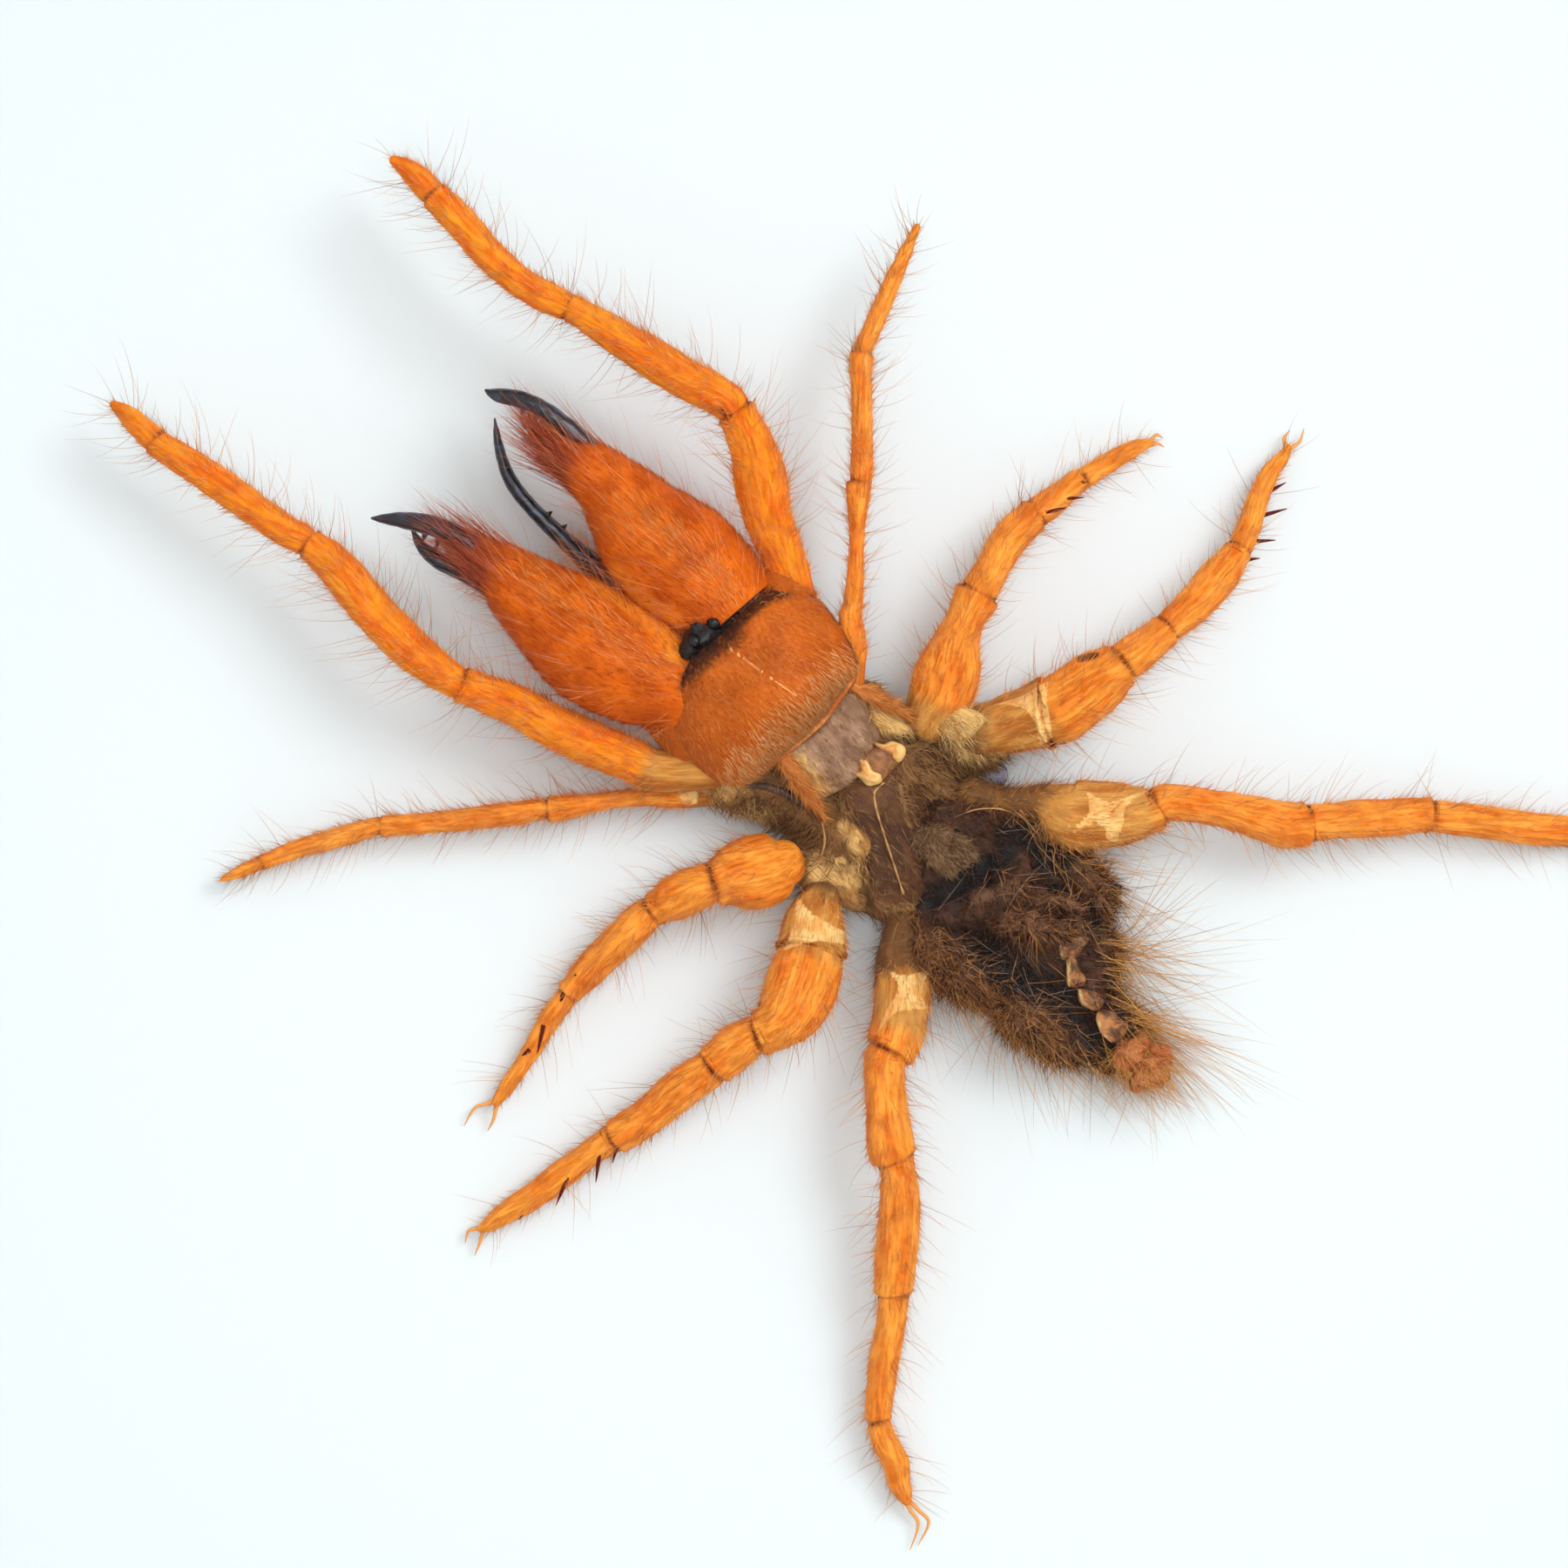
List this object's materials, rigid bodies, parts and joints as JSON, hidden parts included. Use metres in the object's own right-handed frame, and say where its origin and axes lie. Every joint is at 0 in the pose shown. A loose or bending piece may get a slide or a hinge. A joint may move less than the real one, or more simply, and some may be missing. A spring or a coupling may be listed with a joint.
{
  "type": "framed camel spider specimen",
  "caption": "Dried camel spider glued spread out on a white card in a square wooden shadow box frame with a glass front.",
  "frame": {"origin": "middle of the frame's back, where the frame lies on its back", "axes": "+Z the way the specimen faces, +X the right of the picture, +Y its top"},
  "size_m": [0.18, 0.18, 0.032],
  "materials": {
    "chitin_red": "satin",
    "chitin_orange": "satin",
    "horn": "gloss",
    "abdomen_skin": "matte",
    "glue": "gloss",
    "black_wood": "satin",
    "white_card": "matte",
    "backing_board": "matte",
    "steel": "satin",
    "glass": "gloss"
  },
  "bodies": {
    "root": {"cephalothorax": "chitin_red", "chelicera_right": "chitin_red", "chelicera_left": "chitin_red", "movable_finger_right": "horn", "movable_finger_left": "horn", "abdomen": "abdomen_skin", "pedipalp_right": "chitin_orange", "pedipalp_left": "chitin_orange", "leg_1_right": "chitin_orange", "leg_1_left": "chitin_orange", "leg_2_right": "chitin_orange", "leg_2_left": "chitin_orange", "leg_3_right": "chitin_orange", "leg_3_left": "chitin_orange", "leg_4_right": "chitin_orange", "leg_4_left": "chitin_orange", "glue_spot": "glue", "rail_bottom": "black_wood", "spacer_bottom": "white_card", "fixing_tab_bottom_1": "steel", "fixing_tab_bottom_2": "steel", "rail_right": "black_wood", "spacer_right": "white_card", "fixing_tab_right_1": "steel", "fixing_tab_right_2": "steel", "rail_top": "black_wood", "spacer_top": "white_card", "fixing_tab_top_1": "steel", "fixing_tab_top_2": "steel", "rail_left": "black_wood", "spacer_left": "white_card", "fixing_tab_left_1": "steel", "fixing_tab_left_2": "steel", "glass_pane": "glass", "mount_card": "white_card", "backing_board": "backing_board"}
  },
  "joints": []
}
